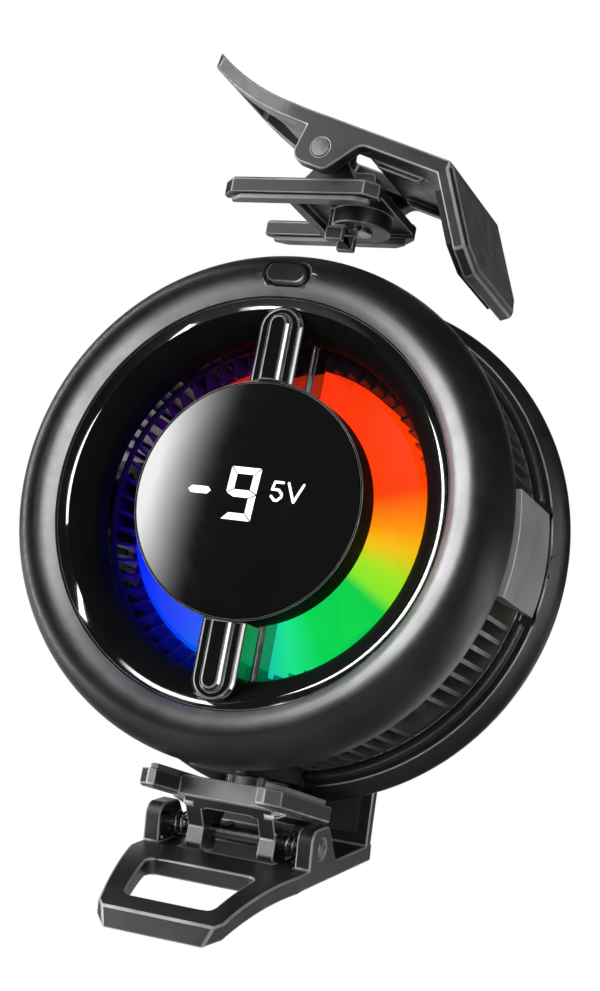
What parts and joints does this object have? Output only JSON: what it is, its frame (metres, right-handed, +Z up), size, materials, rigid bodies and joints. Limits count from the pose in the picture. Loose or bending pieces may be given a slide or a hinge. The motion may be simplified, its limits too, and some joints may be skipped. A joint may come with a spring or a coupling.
{
  "type": "phone cooling fan",
  "caption": "Clip-on phone cooler: a round lit fan with a display pod, a finned heatsink, a cold plate and two sprung clips, one docked and one lifted off.",
  "frame": {"origin": "centre of the cold face that rests on the phone", "axes": "+Y out of the cold face towards the phone, -Y the lit front, +Z up towards the detached clip, +X right seen from the front"},
  "size_m": [0.07, 0.0386, 0.1203],
  "materials": {
    "satin_dark_metal": "satin dark grey",
    "satin_dark_plastic": "satin black",
    "gloss_black": "polished black",
    "matte_black": "matte black",
    "lit_white": "lit from behind",
    "lit_hub": "translucent, lit from behind in many colours",
    "steel": "turned steel",
    "bronze": "sintered",
    "copper": "enamelled winding",
    "magnet": "bonded magnet",
    "dark_aluminium": "dark anodised",
    "bare_aluminium": "milled",
    "grey_metal": "satin mid grey",
    "circuit_board": "solder mask",
    "foam": "closed-cell foam",
    "white_ceramic": "fired alumina",
    "pellets": "sintered",
    "soft_pad": "soft silicone",
    "silver_strip": "satin silver"
  },
  "bodies": {
    "housing": {"front_ring": "satin_dark_metal", "rear_cover": "satin_dark_plastic", "trim_bead": "satin_dark_plastic", "bezel_bowl": "gloss_black", "bridge_arm_upper": "gloss_black", "bridge_arm_lower": "gloss_black", "display_pod": "gloss_black", "display_lens": "gloss_black", "digit_segments": "lit_white", "digit_frame": "matte_black", "display_board": "circuit_board", "button_switch": "matte_black", "button_board": "circuit_board", "fan_shroud": "matte_black", "motor_bearings": "bronze", "bearing_tube": "bronze", "stator_core": "steel", "stator_coils": "copper", "lamp_board": "circuit_board", "lamp_chips": "lit_white", "heatsink": "dark_aluminium", "side_panel_right": "grey_metal", "side_panel_left": "grey_metal", "usb_c_port": "steel", "power_board": "circuit_board", "foam_gasket": "foam", "peltier_hot_plate": "white_ceramic", "peltier_pellets": "pellets", "peltier_cold_plate": "white_ceramic", "cold_plate": "bare_aluminium", "thermal_pad": "soft_pad", "case_screws": "steel", "frame_screws": "steel", "clip_socket_upper": "matte_black", "clip_socket_lower": "matte_black"},
    "rotor": {"impeller_hub": "lit_hub", "impeller_blades": "matte_black", "rotor_yoke": "steel", "rotor_magnet": "magnet", "motor_shaft": "steel"},
    "power_key": {"power_button": "satin_dark_metal"},
    "upper_release": {"release_button_upper": "satin_dark_plastic"},
    "lower_release": {"release_button_lower": "satin_dark_plastic"},
    "upper_stud": {"upper_clip_stud": "steel"},
    "upper_clip": {"upper_clip_base": "satin_dark_plastic", "upper_grip_strips": "silver_strip"},
    "upper_jaw": {"upper_clip_lever": "satin_dark_plastic", "upper_hinge_pin": "steel", "upper_torsion_springs": "steel", "upper_jaw_pad": "soft_pad"},
    "lower_stud": {"lower_clip_stud": "steel"},
    "lower_clip": {"lower_clip_base": "satin_dark_plastic", "lower_grip_strips": "silver_strip"},
    "lower_jaw": {"lower_clip_lever": "satin_dark_plastic", "lower_hinge_pin": "steel", "lower_torsion_springs": "steel", "lower_jaw_pad": "soft_pad"}
  },
  "joints": [
    {"name": "fan_spin", "type": "hinge", "parent": "housing", "child": "rotor", "pos_m": [0, -0.0164, 0], "axis": [0, 1, 0], "continuous": true},
    {"name": "power_button_press", "type": "slide", "parent": "housing", "child": "power_key", "axis": [0, 1, 0], "range_m": [0, 0.0005], "stiffness_N_per_m": 500, "springref_m": -0.0006},
    {"name": "upper_release_press", "type": "slide", "parent": "housing", "child": "upper_release", "axis": [0, 0, -1], "range_m": [0, 0.0006], "stiffness_N_per_m": 500, "springref_m": -0.0006},
    {"name": "lower_release_press", "type": "slide", "parent": "housing", "child": "lower_release", "axis": [0, 0, 1], "range_m": [0, 0.0006], "stiffness_N_per_m": 500, "springref_m": -0.0006},
    {"name": "upper_clip_lift", "type": "slide", "parent": "housing", "child": "upper_stud", "axis": [0, 0, 1], "range_m": [-0.0099, 0]},
    {"name": "upper_clip_turn", "type": "hinge", "parent": "upper_stud", "child": "upper_clip", "pos_m": [0, -0.0102, 0.0503], "axis": [0, 0, 1], "range_deg": [0, 90]},
    {"name": "upper_lever", "type": "hinge", "parent": "upper_clip", "child": "upper_jaw", "pos_m": [-0.003, -0.0102, 0.0503], "axis": [0, -1, 0], "range_deg": [0, 25], "stiffness_Nm_per_rad": 0.03, "springref_deg": -34.38},
    {"name": "lower_clip_lift", "type": "slide", "parent": "housing", "child": "lower_stud", "axis": [0, 0, -1], "range_m": [0, 0.023]},
    {"name": "lower_clip_turn", "type": "hinge", "parent": "lower_stud", "child": "lower_clip", "pos_m": [0, -0.0102, -0.0404], "axis": [0, 0, -1], "range_deg": [-90, 0]},
    {"name": "lower_lever", "type": "hinge", "parent": "lower_clip", "child": "lower_jaw", "pos_m": [0, -0.0132, -0.0404], "axis": [-1, 0, 0], "range_deg": [0, 25], "stiffness_Nm_per_rad": 0.03, "springref_deg": -34.38}
  ],
  "couplings": [
    {"joint": "upper_clip_turn", "follows": "upper_clip_lift", "rad_per_m": -158.6},
    {"joint": "lower_clip_turn", "follows": "lower_clip_lift", "rad_per_m": -68.29}
  ]
}
